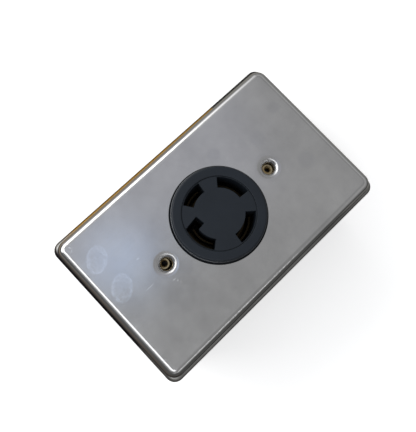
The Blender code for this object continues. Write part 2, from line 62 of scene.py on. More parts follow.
GAP = 0.0003
OVERSHOOT = 0.002                           # how far a cutting shape reaches past a surface
LEVEL_TOLERANCE = 1e-6
MERGE_DISTANCE = 1e-7
COVER_SCREW_Y = 0.03016
STRAP_SCREW_Y = 0.0417
ASSEMBLY_SCREW_Y = 0.0225
SLOT_INNER = 0.01085
SLOT_OUTER = 0.0153
SLOT_FLARE = 0.00012
SLOT_ANGLES = ((353.5, 410.5), (84.5, 140.5), (171.5, 214.5), (251.5, 309.0))
DOGLEG_START = (-0.00345, -0.0078)
DOGLEG_END = (-0.00270, -0.0135)
DOGLEG_WIDTH = 0.0042
STRAP_THICKNESS = 0.0013
LOWER_BOSS_SHIFT = (-0.0009, -0.0006)       # the strap's lower boss is a little off centre
PLATE_THICKNESS = 0.0010
PLATE_CORNER = 0.0048
PLATE_SHOULDER = 0.0039
PLATE_HOLE_RADIUS = 0.02095
GASKET_OPENING = (0.0640, 0.1080)
GASKET_CORNER = 0.0048
WALL = 0.0032
BOX_CORNER = 0.0045
BOX_INNER_CORNER = 0.0030
BACK_ROUND = 0.0012
RIM_ROUND = 0.0022
LUG_Z = 0.0395
LUG_RADIUS = 0.0045
MOUNTING_HOLE = (0.0280, 0.0500)
MOUNTING_HOLE_RADIUS = 0.0024
OUTLET_RADIUS = 0.0125
OUTLET_PITCH = 0.0014
OUTLET_Z = 0.0215
BACK_OUTLET_Y = 0.0300
HUB_RADIUS = 0.0155
HUB_DEPTH = 0.0070
PLUG_HEIGHT = 0.0060
SCREW_PITCH = 0.00079
# Screws: head height, head radius, shank radius
STRAP_SCREW = (0.0020, 0.0033, 0.0016)
ASSEMBLY_SCREW = (0.0020, 0.0033, 0.0017)
GROUND_SCREW = (0.0026, 0.0045, 0.0020)
TERMINAL_SCREW = (0.0022, 0.0040, 0.0020)


# ---------------------------------------------------------------- mesh helpers

def new_object(name, data):
    """An object with this data, in the scene."""
    obj = bpy.data.objects.new(name, data)
    bpy.context.scene.collection.objects.link(obj)
    return obj


def solid(name, bm):
    """A new object with the shape as its mesh."""
    bmesh.ops.recalc_face_normals(bm, faces=bm.faces)
    mesh = bpy.data.meshes.new(name)
    bm.to_mesh(mesh)
    bm.free()
    return new_object(name, mesh)


def bake(obj):
    """Turn the object's modifiers into its mesh."""
    evaluated = obj.evaluated_get(bpy.context.evaluated_depsgraph_get())
    mesh = bpy.data.meshes.new_from_object(evaluated)
    obj.modifiers.clear()
    obj.data = mesh


def combine(obj, others, operation):
    """Cut the others out of obj, or join them to it, one after another."""
    tools = [solid("tool", bm) for bm in others]
    for tool in tools:
        modifier = obj.modifiers.new("boolean", "BOOLEAN")
        modifier.operation = operation
        modifier.solver = "EXACT"
        modifier.object = tool
    bake(obj)
    for tool in tools:
        bpy.data.objects.remove(tool, do_unlink=True)


def cut(obj, *others):
    combine(obj, others, "DIFFERENCE")


def join(obj, *others):
    combine(obj, others, "UNION")


def fused(first, *others):
    """The union of several shapes, as one shape."""
    obj = solid("fused", first)
    join(obj, *others)
    bm = bmesh.new()
    bm.from_mesh(obj.data)
    bpy.data.objects.remove(obj, do_unlink=True)
    return bm


def soften(obj, width):
    """Round the sharp edges."""
    bevel = obj.modifiers.new("round", "BEVEL")
    bevel.width = width
    bevel.segments = 2
    bevel.limit_method = "ANGLE"
    bevel.angle_limit = radians(40)
    bevel.use_clamp_overlap = True
    bake(obj)


def finish_mesh(obj, sharp=32):
    """Smooth shading that keeps flat faces flat."""
    obj.data.shade_smooth()
    obj.data.set_sharp_from_angle(angle=radians(sharp))
    weighted = obj.modifiers.new("normals", "WEIGHTED_NORMAL")
    weighted.keep_sharp = True
    bake(obj)


def dress(obj, material):
    """Make this the only material of an object."""
    obj.data.materials.clear()
    obj.data.materials.append(material)


def place(obj, material, body, node):
    """Give a finished piece its material and body, and hide the CAD node it stands for."""
    dress(obj, material)
    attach(obj, body)
    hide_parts(node)


def block(low, high, corner=0.0, steps=8):
    """A box between two corners, with its upright edges rounded."""
    bm = bmesh.new()
    bmesh.ops.create_cube(bm, size=1.0)
    size = Vector(high) - Vector(low)
    bmesh.ops.scale(bm, verts=bm.verts, vec=size)
    bmesh.ops.translate(bm, verts=bm.verts, vec=(Vector(high) + Vector(low)) / 2)
    if corner:
        upright = [edge for edge in bm.edges
                   if abs(edge.verts[0].co.z - edge.verts[1].co.z) > size.z / 2]
        bmesh.ops.bevel(bm, geom=upright, offset=corner, segments=steps, profile=0.5, affect="EDGES")
    return bm


def centred_block(size_x, size_y, bottom, top, corner=0.0, steps=8):
    return block((-size_x / 2, -size_y / 2, bottom), (size_x / 2, size_y / 2, top), corner, steps)


def round_edges_at(bm, height, width, steps):
    """Round the edges that lie level at a height."""
    edges = [edge for edge in bm.edges
             if all(abs(vert.co.z - height) < LEVEL_TOLERANCE for vert in edge.verts)]
    bmesh.ops.bevel(bm, geom=edges, offset=width, segments=steps, profile=0.5, affect="EDGES")
    return bm


def turned(profile, steps, base=(0, 0, 0), along=(0, 0, 1)):
    """A solid of revolution; the profile is (radius, height) pairs from axis to axis."""
    bm = bmesh.new()
    verts = [bm.verts.new((radius, 0, height)) for radius, height in profile]
    edges = [bm.edges.new(pair) for pair in zip(verts, verts[1:])]
    bmesh.ops.spin(bm, geom=verts + edges, cent=(0, 0, 0), axis=(0, 0, 1), angle=2 * pi,
                   steps=steps, use_merge=True)
    bmesh.ops.remove_doubles(bm, verts=bm.verts, dist=MERGE_DISTANCE)
    turn = Vector(along).to_track_quat("Z", "Y").to_matrix().to_4x4()
    bmesh.ops.transform(bm, matrix=Matrix.Translation(base) @ turn, verts=bm.verts)
    return bm


def rod(start, end, radius, steps=48):
    """A round bar between two points."""
    start, end = Vector(start), Vector(end)
    length = (end - start).length
    return turned([(0, 0), (radius, 0), (radius, length), (0, length)], steps, start, end - start)


def quarter(radius_from, radius_to, height_from, height_to, steps=6):
    """Profile points on a quarter ellipse that starts level and ends upright."""
    angles = [radians(90 * i / steps) for i in range(steps + 1)]
    return [(radius_from + (radius_to - radius_from) * sin(angle),
             height_from + (height_to - height_from) * (1 - cos(angle))) for angle in angles]


def thread(radius, start, end, pitch, depth):
    """Profile points of thread ridges, seen from the side, between two heights."""
    count = max(1, int(abs(end - start) / pitch))
    step = (end - start) / count
    points = []
    for i in range(count):
        points.append((radius - depth, start + step * i))
        points.append((radius, start + step * (i + 0.5)))
    return points + [(radius - depth, end)]


def arc(radius, start, end, steps):
    """Points on a circle between two angles in degrees."""
    angles = [radians(start + (end - start) * i / steps) for i in range(steps + 1)]
    return [(radius * cos(angle), radius * sin(angle)) for angle in angles]


def prism(lower, upper, bottom, top):
    """A closed solid between two outlines with as many points each."""
    bm = bmesh.new()
    low = [bm.verts.new((x, y, bottom)) for x, y in lower]
    high = [bm.verts.new((x, y, top)) for x, y in upper]
    bm.faces.new(low)
    bm.faces.new(high)
    for i in range(len(low)):
        j = (i + 1) % len(low)
        bm.faces.new((low[i], low[j], high[j], high[i]))
    return bm


def band_outline(start, end, growth, steps=24):
    """A curved slot's outline between two angles in degrees, grown all round."""
    spread = degrees(growth / SLOT_INNER)
    outer = arc(SLOT_OUTER + growth, start - spread, end + spread, steps)
    inner = arc(SLOT_INNER - growth, end + spread, start - spread, steps)
    return outer + inner


def bar_outline(start, end, width, growth):
    """A straight slot's outline, grown on its sides and at its start."""
    along = Vector(end) - Vector(start)
    along.normalize()
    across = Vector((-along.y, along.x)) * (width / 2 + growth)
    first, last = Vector(start) - along * growth, Vector(end)
    return [tuple(first - across), tuple(last - across), tuple(last + across), tuple(first + across)]


# ---------------------------------------------------------------- material helpers

# Sockets of a Mix node that blends colours
MIX_FACTOR, MIX_FIRST, MIX_SECOND, MIX_RESULT = 0, 6, 7, 2


class Nodes:
    """A material's node tree with short calls for the nodes used here."""

    def __init__(self, name, colour, roughness, metallic):
        self.material = bpy.data.materials.new(name)
        self.material.use_nodes = True
        self.tree = self.material.node_tree
        self.shader = self.tree.nodes["Principled BSDF"]
        self.shader.inputs["Base Color"].default_value = (*colour, 1.0)
        self.shader.inputs["Roughness"].default_value = roughness
        self.shader.inputs["Metallic"].default_value = metallic
        self.place = self.add("ShaderNodeTexCoord").outputs["Object"]

    def add(self, kind, **settings):
        node = self.tree.nodes.new(kind)
        for key, value in settings.items():
            setattr(node, key, value)
        return node

    def feed(self, socket, value):
        if isinstance(value, bpy.types.NodeSocket):
            self.tree.links.new(value, socket)
        else:
            socket.default_value = value

    def math(self, operation, first, second=0.0):
        node = self.add("ShaderNodeMath", operation=operation)
        self.feed(node.inputs[0], first)
        self.feed(node.inputs[1], second)
        return node.outputs[0]

    def stretch(self, scale, source=None):
        """Coordinates, by default the piece's own, scaled along each axis."""
        node = self.add("ShaderNodeVectorMath", operation="MULTIPLY")
        self.feed(node.inputs[0], source or self.place)
        node.inputs[1].default_value = scale
        return node.outputs[0]

    def noise(self, scale, detail=4.0, roughness=0.55, source=None):
        node = self.add("ShaderNodeTexNoise")
        self.feed(node.inputs["Vector"], source or self.place)
        node.inputs["Scale"].default_value = scale
        node.inputs["Detail"].default_value = detail
        node.inputs["Roughness"].default_value = roughness
        return node.outputs["Fac"]

    def fit(self, value, low, high, new_low, new_high, smooth=False):
        node = self.add("ShaderNodeMapRange")
        node.interpolation_type = "SMOOTHSTEP" if smooth else "LINEAR"
        self.feed(node.inputs["Value"], value)
        node.inputs["From Min"].default_value = low
        node.inputs["From Max"].default_value = high
        node.inputs["To Min"].default_value = new_low
        node.inputs["To Max"].default_value = new_high
        return node.outputs["Result"]

    def blend(self, factor, first, second):
        node = self.add("ShaderNodeMix", data_type="RGBA")
        self.feed(node.inputs[MIX_FACTOR], factor)
        self.feed(node.inputs[MIX_FIRST], first)
        self.feed(node.inputs[MIX_SECOND], second)
        return node.outputs[MIX_RESULT]

    def distance(self, centre, scale=(1.0, 1.0, 0.0), turn=0.0):
        """Distance from a point, in metres, along turned axes whose scale isn't zero."""
        moved = self.add("ShaderNodeVectorMath", operation="SUBTRACT")
        self.feed(moved.inputs[0], self.place)
        moved.inputs[1].default_value = centre
        rotated = self.add("ShaderNodeVectorRotate", rotation_type="Z_AXIS")
        self.feed(rotated.inputs["Vector"], moved.outputs[0])
        rotated.inputs["Angle"].default_value = turn
        scaled = self.stretch(scale, rotated.outputs[0])
        length = self.add("ShaderNodeVectorMath", operation="LENGTH")
        self.feed(length.inputs[0], scaled)
        return length.outputs["Value"]

    def bump(self, height, strength, distance):
        node = self.add("ShaderNodeBump")
        self.feed(node.inputs["Height"], height)
        node.inputs["Strength"].default_value = strength
        node.inputs["Distance"].default_value = distance
        self.feed(self.shader.inputs["Normal"], node.outputs["Normal"])

    def coordinates(self):
        """The piece's own X, Y and Z, each as a socket."""
        split = self.add("ShaderNodeSeparateXYZ")
        self.feed(split.inputs[0], self.place)
        return split.outputs

    def height(self, low, high):
        """0 below the low height and 1 above the high one."""
        return self.fit(self.coordinates()["Z"], low, high, 0.0, 1.0)

    def base(self, socket):
        self.feed(self.shader.inputs["Base Color"], socket)

    def rough(self, socket):
        self.feed(self.shader.inputs["Roughness"], socket)


def rgba(red, green, blue):
    return (red, green, blue, 1.0)


# ---------------------------------------------------------------- materials

# Marks on the plate: x, y and radius, or half the length of a scratch
FINGER_MARKS = ((-0.0207, -0.0495, 0.0065), (-0.0051, -0.0497, 0.0065))
FINGER_MARK_NARROWING = 1.35
FINGER_RIDGE_SPACING = 0.00075
SCUFFS = ((-0.0318, -0.0548, 0.0030), (0.0082, -0.0312, 0.0026), (0.0275, -0.0560, 0.0030))
SMUDGES = ((-0.0127, 0.0356, 0.0045), (-0.0180, 0.0508, 0.0035), (-0.0203, 0.0164, 0.0038),
           (0.0087, 0.0446, 0.0050), (0.0060, -0.0250, 0.0045))
SCRATCHES = ((0.0024, -0.0413, 0.0019), (0.0070, -0.0318, 0.0008), (-0.0095, -0.0372, 0.0006))
SCRATCH_WIDTH = 0.0001


def stainless_steel():
    """Satin stainless, glossier on the pressed shoulder, with finger marks, smudges and scratches, and a
    ring of painted shade round each screw dish.
    """
    n = Nodes("stainless_sheet", (0.58, 0.58, 0.58), 0.21, 1.0)
    cloud = n.noise(60, detail=6, roughness=0.65)
    grain = n.noise(900, detail=3, source=n.stretch((1.0, 0.12, 1.0)))
    speckle = n.noise(2600, detail=2)
    colour = n.blend(n.fit(cloud, 0.3, 0.7, 0, 1), rgba(0.525, 0.525, 0.53), rgba(0.63, 0.63, 0.63))
    colour = n.blend(n.fit(speckle, 0.4, 0.8, 0, 0.12), colour, rgba(0.50, 0.50, 0.51))
    satin = n.math("ADD", n.fit(cloud, 0.3, 0.7, 0.19, 0.225), n.fit(grain, 0.3, 0.7, -0.008, 0.012))
    flat = n.height(FACE_Z - 0.0005, FACE_Z - 0.0001)
    rough = n.math("SUBTRACT", satin, n.fit(flat, 0, 1, 0.075, 0.0))
    for x, y, radius in FINGER_MARKS:
        away = n.distance((x, y, FACE_Z), (FINGER_MARK_NARROWING, 1.0, 0.0), -pi / 4)
        wobble = n.math("ADD", away, n.fit(n.noise(260, detail=2), 0, 1, -0.0012, 0.0012))
        ridges = n.math("SINE", n.math("MULTIPLY", wobble, 2 * pi / FINGER_RIDGE_SPACING))
        inside = n.fit(away, radius * 0.82, radius, 1.0, 0.0, smooth=True)
        rim = n.fit(away, radius * 0.45, radius * 0.88, 0.45, 1.0)
        patchy = n.fit(n.noise(900, detail=4), 0.38, 0.62, 0.25, 1.0)
        mark = n.math("MULTIPLY", n.math("MULTIPLY", inside, rim), patchy)
        mark = n.math("MULTIPLY", mark, n.fit(ridges, -1, 1, 0.35, 1.0))
        colour = n.blend(n.math("MULTIPLY", mark, 0.62), colour, rgba(0.82, 0.88, 0.98))
        rough = n.math("ADD", rough, n.math("MULTIPLY", mark, 0.06))
    for x, y, radius in SMUDGES:
        away = n.distance((x, y, FACE_Z))
        mark = n.fit(away, radius * 0.5, radius, 0.28, 0.0, smooth=True)
        colour = n.blend(mark, colour, rgba(0.46, 0.465, 0.49))
    # Painted shade: a dark ring is painted on the face round each screw dish, where the sheet curves down
    # into it.
    for y in (-COVER_SCREW_Y, COVER_SCREW_Y):
        away = n.distance((0.0, y, FACE_Z))
        painted_dish_shade = n.fit(away, 0.0042, 0.0075, 0.35, 0.0, smooth=True)
        colour = n.blend(painted_dish_shade, colour, rgba(0.42, 0.42, 0.43))
        rough = n.math("ADD", rough, n.fit(away, 0.0040, 0.0046, 0.14, 0.0))
    for x, y, radius in SCUFFS:
        away = n.distance((x, y, FACE_Z))
        spots = n.fit(n.noise(1500, detail=2), 0.58, 0.66, 0.0, 1.0)
        mark = n.math("MULTIPLY", spots, n.fit(away, radius * 0.3, radius, 0.7, 0.0))
        colour = n.blend(mark, colour, rgba(0.92, 0.92, 0.92))
    for x, y, half_length in SCRATCHES:
        scratch = n.distance((x, y, FACE_Z), (1.0, SCRATCH_WIDTH / half_length, 0.0))
        colour = n.blend(n.fit(scratch, 0.00006, 0.00014, 0.7, 0.0), colour, rgba(0.95, 0.95, 0.95))
    n.base(colour)
    n.rough(rough)
    n.bump(n.math("ADD", grain, n.math("MULTIPLY", speckle, 0.6)), 0.03, 0.00004)
    return n.material


def metal(name, dark, light, roughness, texture, bump_strength):
    """Plain metal with cloudy colour and gloss and a fine surface texture."""
    n = Nodes(name, light, roughness, 1.0)
    cloud = n.noise(90, detail=4)
    fine = n.noise(texture, detail=3)
    n.base(n.blend(n.fit(cloud, 0.3, 0.7, 0, 1), rgba(*dark), rgba(*light)))
    n.rough(n.fit(cloud, 0.3, 0.7, roughness * 0.85, roughness * 1.2))
    n.bump(fine, bump_strength, 0.00006)
    return n.material


def cast_metal():
    """Dull grey, finely pebbled die-cast metal; its rim is near-black towards one end, and along one side
    it carries a painted warm reflection that turns to painted shade.
    """
    n = Nodes("cast_box_metal", (0.27, 0.265, 0.255), 0.38, 1.0)
    cloud = n.noise(45, detail=6, roughness=0.65)
    pebble = n.noise(1300, detail=2)
    colour = n.blend(n.fit(cloud, 0.32, 0.68, 0, 1), rgba(0.20, 0.195, 0.185), rgba(0.33, 0.325, 0.31))
    coordinates = n.coordinates()
    across, along = coordinates["X"], coordinates["Y"]
    # The rim is made near-black towards the low -Y end, except near its +X corner.
    end = n.fit(along, BOX_LOW.y + 0.0012, BOX_LOW.y + 0.0034, 1.0, 0.0, smooth=True)
    end = n.math("MULTIPLY", end, n.fit(across, 0.014, 0.024, 1.0, 0.0, smooth=True))
    colour = n.blend(end, colour, rgba(0.022, 0.021, 0.022))
    # Painted reflection and painted shade: a warm brown reflection is painted along the rim's -X side,
    # turning dark past y = 0.033 where painted shade stands in for the gap's shadow.
    side = n.fit(across, BOX_LOW.x + 0.0016, BOX_LOW.x + 0.0028, 1.0, 0.0, smooth=True)
    side = n.math("MULTIPLY", side, n.height(RIM_Z - 0.0034, RIM_Z - 0.0026))
    upper = n.fit(along, 0.0325, 0.0335, 0.0, 1.0)
    painted_reflection_and_shade = n.blend(upper, rgba(0.25, 0.14, 0.03), rgba(0.045, 0.043, 0.040))
    side = n.math("MULTIPLY", side, n.fit(along, -0.056, -0.048, 0.0, 1.0))
    n.base(n.blend(side, colour, painted_reflection_and_shade))
    n.rough(n.fit(cloud, 0.3, 0.7, 0.32, 0.46))
    n.bump(n.math("ADD", pebble, n.math("MULTIPLY", cloud, 0.8)), 0.30, 0.00008)
    return n.material


def nylon(name, dark, light, roughness):
    """Moulded nylon with a faint cloud and a fine texture."""
    n = Nodes(name, light, roughness, 0.0)
    cloud = n.noise(55, detail=4)
    fine = n.noise(1900, detail=3)
    n.base(n.blend(n.fit(cloud, 0.3, 0.7, 0, 1), rgba(*dark), rgba(*light)))
    n.rough(n.fit(fine, 0.3, 0.7, roughness * 0.88, roughness * 1.12))
    n.shader.inputs["Specular IOR Level"].default_value = 0.28
    n.bump(fine, 0.16, 0.00006)
    return n.material


def foam_rubber():
    """Black rubber with small cells."""
    n = Nodes("foam_rubber", (0.014, 0.014, 0.014), 0.9, 0.0)
    cells = n.add("ShaderNodeTexVoronoi")
    n.feed(cells.inputs["Vector"], n.place)
    cells.inputs["Scale"].default_value = 1400
    n.base(n.blend(cells.outputs["Distance"], rgba(0.006, 0.006, 0.006), rgba(0.030, 0.030, 0.030)))
    n.bump(cells.outputs["Distance"], 0.5, 0.00012)
    return n.material


STEEL = stainless_steel()
CAST = cast_metal()
FACE_NYLON = nylon("face_nylon", (0.0105, 0.0145, 0.0205), (0.0140, 0.0190, 0.0265), 0.42)
BODY_NYLON = nylon("body_nylon", (0.020, 0.020, 0.022), (0.034, 0.034, 0.036), 0.55)
STRAP_METAL = metal("strap_brass_plate", (0.38, 0.30, 0.17), (0.52, 0.43, 0.27), 0.30, 900, 0.10)
# Painted shade: the contacts' brass is made almost black to stand in for the shade deep inside the slots.
CONTACT_BRASS_PAINTED_SHADE = metal("contact_brass", (0.024, 0.018, 0.010), (0.060, 0.045, 0.025), 0.45, 1200, 0.08)
SCREW_BRASS = metal("screw_brass", (0.52, 0.37, 0.16), (0.68, 0.50, 0.25), 0.28, 1500, 0.08)
ZINC = metal("zinc_plate", (0.50, 0.50, 0.48), (0.64, 0.64, 0.61), 0.30, 1500, 0.10)
GREEN = metal("green_plate", (0.02, 0.17, 0.05), (0.05, 0.28, 0.10), 0.34, 1500, 0.08)
RUBBER = foam_rubber()


# ---------------------------------------------------------------- cover plate

def make_cover_plate():
    """The pressed pan: round hole, and two screw holes each in a shallow dish."""
    size = PLATE_HIGH - PLATE_LOW
    outside = centred_block(size.x, size.y, PLATE_LOW.z, FACE_Z, PLATE_CORNER, 14)
    plate = solid("cover_plate_steel", round_edges_at(outside, FACE_Z, PLATE_SHOULDER, 14))
    under, inset = FACE_Z - PLATE_THICKNESS, 2 * PLATE_THICKNESS
    inside = centred_block(size.x - inset, size.y - inset, PLATE_LOW.z - OVERSHOOT / 2, under,
                           PLATE_CORNER - PLATE_THICKNESS, 14)
    cut(plate, round_edges_at(inside, under, PLATE_SHOULDER - PLATE_THICKNESS, 14))
    hole, boss_depth, boss_wall, boss_radius = 0.0025, 0.0020, 0.0006, 0.0046
    # Radius and depth of the dish, from its rim inward; the first ring lies just above the face
    slope = [(0.0060, -0.00005), (0.0052, 0.00002), (0.0046, 0.00007), (0.0042, 0.00014), (0.0040, 0.00020),
             (0.0037, 0.00038), (0.0034, 0.00060), (0.0031, 0.00088), (0.0029, 0.00115), (0.0027, 0.00150),
             (hole, 0.00185)]
    below = FACE_Z - 2 * OVERSHOOT
    profile = [(0, FACE_Z - slope[0][1]), *((r, FACE_Z - sunk) for r, sunk in slope), (hole, below),
               (0, below)]
    bosses, dishes = [], []
    for y in (-COVER_SCREW_Y, COVER_SCREW_Y):
        low, high = FACE_Z - boss_depth, FACE_Z - PLATE_THICKNESS / 2
        boss = [(0, low), (hole + boss_wall, low), (boss_radius, high), (0, high)]
        bosses.append(turned(boss, 50, (0, y, 0)))
        dishes.append(turned(profile, 96, (0, y, 0)))
    join(plate, *bosses)
    chamfer, above = 0.00025, 0.0002
    top = FACE_Z + above
    opening = [(0, top), (PLATE_HOLE_RADIUS + chamfer + above, top), (PLATE_HOLE_RADIUS, FACE_Z - chamfer),
               (PLATE_HOLE_RADIUS, PLATE_LOW.z), (0, PLATE_LOW.z)]
    cut(plate, turned(opening, 128), *dishes)
    finish_mesh(plate)
    place(plate, STEEL, "cover", "cover_plate")


# ---------------------------------------------------------------- receptacle

def make_face():
    """The round front: a raised outer ring, a shallow groove, and four slots with eased edges."""
    top = FACE_HIGH.z
    base_radius, round_start, round_end, round_depth = 0.0206, 0.0191, 0.0203, 0.0019
    groove_in, groove_out, groove_deep, step = 0.0155, 0.0159, 0.00035, 0.00025
    screw_hole_radius, screw_hole_top = 0.0020, 0.0569
    flange_z = FACE_LOW.z + 0.001
    rounding = quarter(round_start, round_end, top, top - round_depth, 10)
    profile = [(0, top - step), (groove_in, top - step), (groove_in + 0.0001, top - step - groove_deep),
               (groove_out - 0.0001, top - step - groove_deep), (groove_out, top - 0.0001),
               (groove_out + 0.0002, top), *rounding, (base_radius, FACE_LOW.z + 0.004),
               (base_radius, flange_z), (0, flange_z)]
    face = solid("receptacle_face_nylon", turned(profile, 144))
    flange = centred_block(FACE_HIGH.x - FACE_LOW.x, FACE_HIGH.y - FACE_LOW.y, FACE_LOW.z,
                           PLATE_HIGH.z - PLATE_THICKNESS - GAP, 0.004)
    join(face, round_edges_at(flange, FACE_LOW.z, 0.0003, 2))
    low, high = FACE_LOW.z - OVERSHOOT, top + OVERSHOOT / 2
    flare_low = top - step - SLOT_FLARE
    flare_high = flare_low + SLOT_FLARE * 2
    outlines = [(band_outline(start, end, 0), band_outline(start, end, SLOT_FLARE * 2))
                for start, end in SLOT_ANGLES]
    deep = [prism(plain, plain, low, high) for plain, wide in outlines]
    flared = [prism(plain, wide, flare_low, flare_high) for plain, wide in outlines]
    plain = bar_outline(DOGLEG_START, DOGLEG_END, DOGLEG_WIDTH, 0)
    wide = bar_outline(DOGLEG_START, DOGLEG_END, DOGLEG_WIDTH, SLOT_FLARE * 2)
    deep[-1] = fused(deep[-1], prism(plain, plain, low, high))
    flared[-1] = fused(flared[-1], prism(plain, wide, flare_low, flare_high))
    cutters = deep + flared
    for y in (-ASSEMBLY_SCREW_Y, ASSEMBLY_SCREW_Y):
        cutters.append(rod((0, y, low), (0, y, screw_hole_top), screw_hole_radius, 24))
    cut(face, *cutters)
    finish_mesh(face)
    place(face, FACE_NYLON, "box", "receptacle_face")


def make_strap():
    """The strap with its round middle, slotted ends and two threaded bosses."""
    low, top = STRAP_LOW.z, STRAP_LOW.z + STRAP_THICKNESS
    below, above = low - OVERSHOOT, top + OVERSHOOT
    boss_top = STRAP_HIGH.z
    boss_radius, skirt_start, skirt_end, sink = 0.0023, 0.0025, 0.0034, 0.0003
    slot_reach, slot_radius, slot_corner = 0.0034, 0.0020, 0.0019
    ring_radius, opening_radius = (STRAP_HIGH.x - STRAP_LOW.x) / 2, 0.0170
    strap = solid("mounting_strap_metal", rod((0, 0, low), (0, 0, top), ring_radius, 128))
    bar = centred_block(0.0200, STRAP_HIGH.y - STRAP_LOW.y, low, top, 0.004)
    bosses, cutters = [], [rod((0, 0, below), (0, 0, above), opening_radius, 128)]
    for end in (-1, 1):
        y = end * COVER_SCREW_Y
        skirt = quarter(skirt_start, skirt_end, boss_top - sink, top - sink, 4)
        shift_x, shift_y = LOWER_BOSS_SHIFT if end < 0 else (0, 0)
        centre = (shift_x, y + shift_y, 0)
        boss = [(0, low + sink), *reversed(skirt), (boss_radius, boss_top), (0, boss_top)]
        bosses.append(turned(boss, 48, centre))
        bore_low, bore_high = low - OVERSHOOT / 2, boss_top + 0.0001
        ridges = thread(0.00150, bore_low, boss_top - 0.0004, SCREW_PITCH, 0.00026)
        bore = [(0, bore_low), *ridges, (0.00178, bore_high), (0, bore_high)]
        cutters.append(turned(bore, 40, centre))
        y = end * STRAP_SCREW_Y
        slot_low, slot_high = (-slot_reach, y - slot_radius, below), (slot_reach, y + slot_radius, above)
        cutters.append(block(slot_low, slot_high, slot_corner))
        y = end * ASSEMBLY_SCREW_Y
        cutters.append(rod((0, y, below), (0, y, above), 0.0020, 32))
    join(strap, bar, *bosses)
    cut(strap, *cutters)
    finish_mesh(strap)
    place(strap, STRAP_METAL, "box", "mounting_strap")


# ---------------------------------------------------------------- screws

def make_screw(node, body, material, towards_tip, size):
    """A domed, slotted screw with a thread, in the place of its CAD node."""
    head_height, head_radius, radius = size
    low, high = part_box(node)
    along = Vector(towards_tip)
    length = abs((high - low).dot(along))
    crown = (low + high) / 2 - along * length / 2
    dome = quarter(0, head_radius * 0.98, 0, head_height * 0.55)
    profile = [*dome, (head_radius, head_height * 0.62), (head_radius, head_height * 0.92),
               (head_radius * 0.96, head_height), (radius * 0.85, head_height),
               *thread(radius, head_height + 0.0003, length - 0.0008, SCREW_PITCH, SCREW_PITCH * 0.42),
               (radius * 0.55, length), (0, length)]
    screw = solid(node + "_metal", turned(profile, 40, crown, along))
    across = Vector((0, 1, 0)) if abs(along.y) < 0.5 else Vector((0, 0, 1))
    third = along.cross(across)
    half_slot = 0.00045
    reach = across * head_radius * 1.3 + Vector(map(abs, third)) * half_slot
    reach = reach + Vector(map(abs, along)) * head_height * 0.58
    cut(screw, block(crown - reach, crown + reach))
    finish_mesh(screw, 38)
    place(screw, material, body, node)


def make_screws():
    for end in ("lower", "upper"):
        make_screw("strap_screw_" + end, "box", ZINC, (0, 0, -1), STRAP_SCREW)
        make_screw("assembly_screw_" + end, "box", ZINC, (0, 0, 1), ASSEMBLY_SCREW)
    make_screw("box_ground_screw", "box", GREEN, (0, 0, -1), GROUND_SCREW)
    looks = {"line_1": ("screw_brass", SCREW_BRASS, 1), "line_2": ("screw_brass", SCREW_BRASS, -1),
             "neutral": ("zinc_steel", ZINC, -1), "ground": ("green_screw", GREEN, 1)}
    for name, (slot_name, material, side) in looks.items():
        make_screw("terminal_screw_" + name, "screw_" + name, material, (-side, 0, 0),
                   TERMINAL_SCREW)


def make_clamps():
    """Pressure plates with eased edges and gripping grooves on the inner face."""
    groove_radius, hole_radius, past = 0.00022, 0.0023, OVERSHOOT / 2
    for name, side in (("line_1", 1), ("line_2", -1), ("neutral", -1), ("ground", 1)):
        node = "clamp_" + name
        low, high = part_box(node)
        clamp = solid(node + "_plate", block(low, high))
        middle = (low + high) / 2
        inner_x = low.x if side > 0 else high.x
        start, end = (low.x - past, middle.y, middle.z), (high.x + past, middle.y, middle.z)
        cutters = [rod(start, end, hole_radius, 40)]
        for offset in (-0.0036, -0.0028, 0.0028, 0.0036):
            z = middle.z + offset
            start, end = (inner_x, low.y - past, z), (inner_x, high.y + past, z)
            cutters.append(rod(start, end, groove_radius, 12))
        cut(clamp, *cutters)
        soften(clamp, 0.00012)
        finish_mesh(clamp)
        place(clamp, ZINC, "clamp_" + name, node)


# ---------------------------------------------------------------- box

def outlet_thread(start, inward, depth):
    """A threaded bore that opens at the start point and runs inward."""
    mouth, thread_start = OUTLET_RADIUS + 0.0006, -0.0004
    ridges = thread(OUTLET_RADIUS, thread_start, depth, OUTLET_PITCH, -0.00035)
    profile = [(0, -OVERSHOOT), (mouth, -OVERSHOOT), (mouth, thread_start), *ridges, (0, depth)]
    return turned(profile, 96, start, inward)


